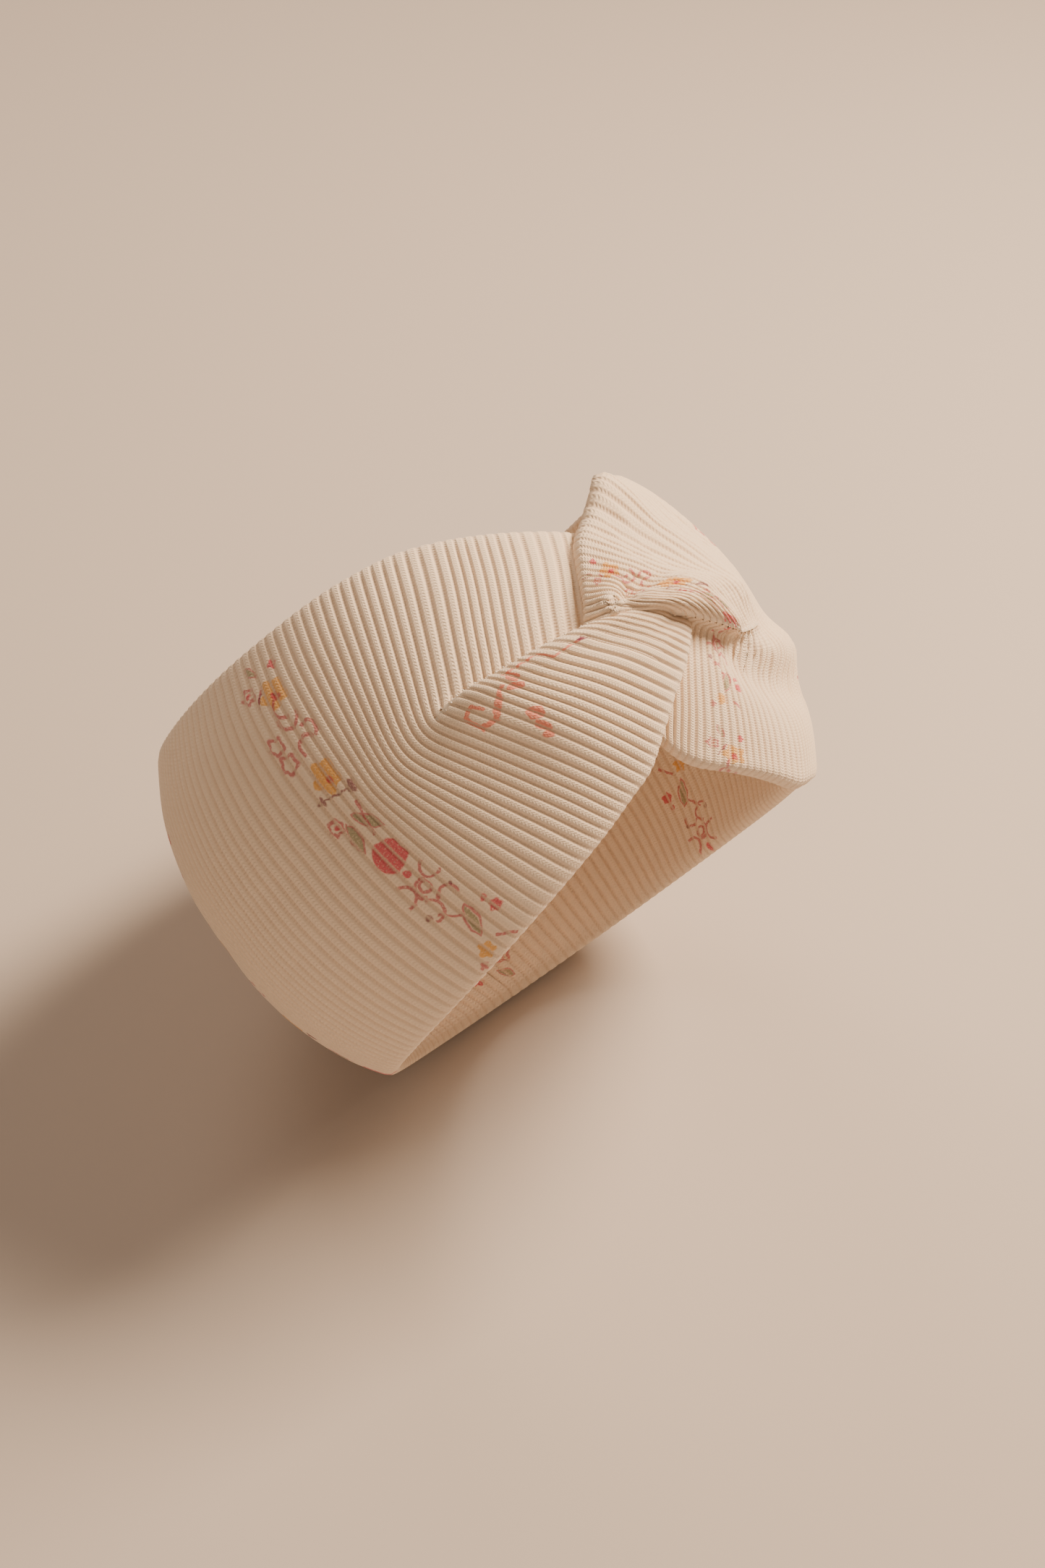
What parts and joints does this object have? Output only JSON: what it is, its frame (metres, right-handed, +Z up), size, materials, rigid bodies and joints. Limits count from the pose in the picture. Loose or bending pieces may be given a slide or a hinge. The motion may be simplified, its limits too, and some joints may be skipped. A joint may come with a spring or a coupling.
{
  "type": "baby twist headband",
  "caption": "Wide soft headband of floral rib knit for a baby, with a pinwheel twist at the front; it stretches to go over the head.",
  "frame": {"origin": "centre of the wearer's head, taken as a ball of 140 mm", "axes": "+Z up through the crown of the head, -Y the way the face looks, +X to the right of the band seen from in front; the band's mid plane leans 60 degrees from the horizontal, with the twist above the forehead"},
  "size_m": [0.151, 0.1316, 0.1522],
  "materials": {
    "printed_knit": "cream rib-knit cotton printed with garlands of small pink, ochre and green flowers",
    "inner_knit": "the same rib knit, plain where it faces the head",
    "thread": "cream polyester sewing thread"
  },
  "bodies": {
    "front": {"left_arm_outer_ply": "printed_knit", "left_arm_inner_ply": "inner_knit", "right_arm_outer_ply": "printed_knit", "right_arm_inner_ply": "inner_knit", "left_twist_fold": "printed_knit", "right_twist_fold": "printed_knit", "twist_seam_allowance": "inner_knit", "twist_seam_thread": "thread", "left_arm_seam_allowance": "inner_knit", "right_arm_seam_allowance": "inner_knit", "left_arm_seam_thread": "thread", "right_arm_seam_thread": "thread"},
    "nape": {"nape_outer_ply": "printed_knit", "nape_inner_ply": "inner_knit", "nape_seam_allowance": "inner_knit", "nape_seam_thread": "thread"}
  },
  "joints": [
    {"name": "stretch", "type": "slide", "parent": "front", "child": "nape", "axis": [0, 0.5, -0.866], "range_m": [0, 0.022], "stiffness_N_per_m": 150, "springref_m": -0.02}
  ]
}
